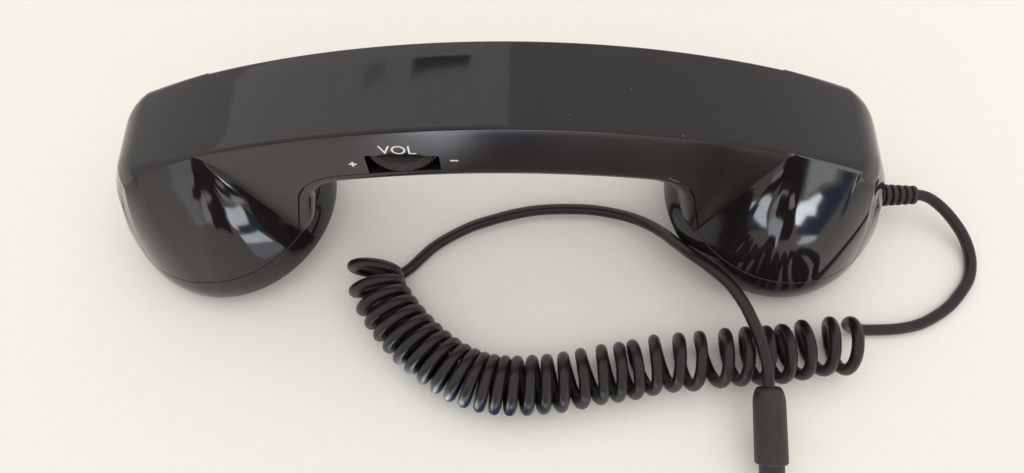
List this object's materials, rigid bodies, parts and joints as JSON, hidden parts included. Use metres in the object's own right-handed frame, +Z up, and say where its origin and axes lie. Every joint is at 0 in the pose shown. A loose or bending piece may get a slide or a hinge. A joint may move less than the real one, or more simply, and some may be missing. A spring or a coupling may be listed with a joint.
{
  "type": "telephone handset",
  "caption": "Gloss black corded telephone handset lying on its cups, with a volume thumbwheel, a call button, a curly cord and a four-pole 3.5 mm jack.",
  "frame": {"origin": "on the table under the middle of the handle, half way between the two cups", "axes": "+X along the handle towards the mouthpiece and the cord, +Z up through the back"},
  "size_m": [0.248, 0.1233, 0.068],
  "materials": {
    "casing": "gloss",
    "knob": "semi-gloss",
    "cord": "satin",
    "foam": "matte",
    "steel": "zinc plated",
    "aluminium": "satin",
    "board": "solder mask",
    "contact": "copper-tinted plating"
  },
  "bodies": {
    "handset": {"back_shell": "casing", "front_shell": "casing", "ear_grille": "casing", "mouth_grille": "casing", "ear_gasket": "foam", "receiver_speaker": "steel", "speaker_clamp": "steel", "microphone_boot": "cord", "microphone_capsule": "aluminium", "ear_weight": "steel", "mouth_weight": "steel", "volume_board": "board", "volume_pot": "steel", "button_board": "board", "button_switch": "steel", "shell_screws": "steel", "small_screws": "steel", "strain_relief": "cord", "cord_lead": "cord", "cord_coil": "cord", "cord_tail": "cord", "plug_body": "cord", "plug_collar": "cord", "jack_sleeve": "contact", "jack_rings": "contact", "jack_insulators": "cord", "jack_tip": "contact"},
    "wheel": {"volume_wheel": "knob"},
    "button": {"call_button": "knob"}
  },
  "joints": [
    {"name": "volume_turn", "type": "hinge", "parent": "handset", "child": "wheel", "pos_m": [-0.0213, -0.00479, 0.0552], "axis": [0, 0, 1], "range_deg": [-150, 150]},
    {"name": "call_press", "type": "slide", "parent": "handset", "child": "button", "axis": [0, 0, 1], "range_m": [0, 0.0005], "stiffness_N_per_m": 300}
  ]
}
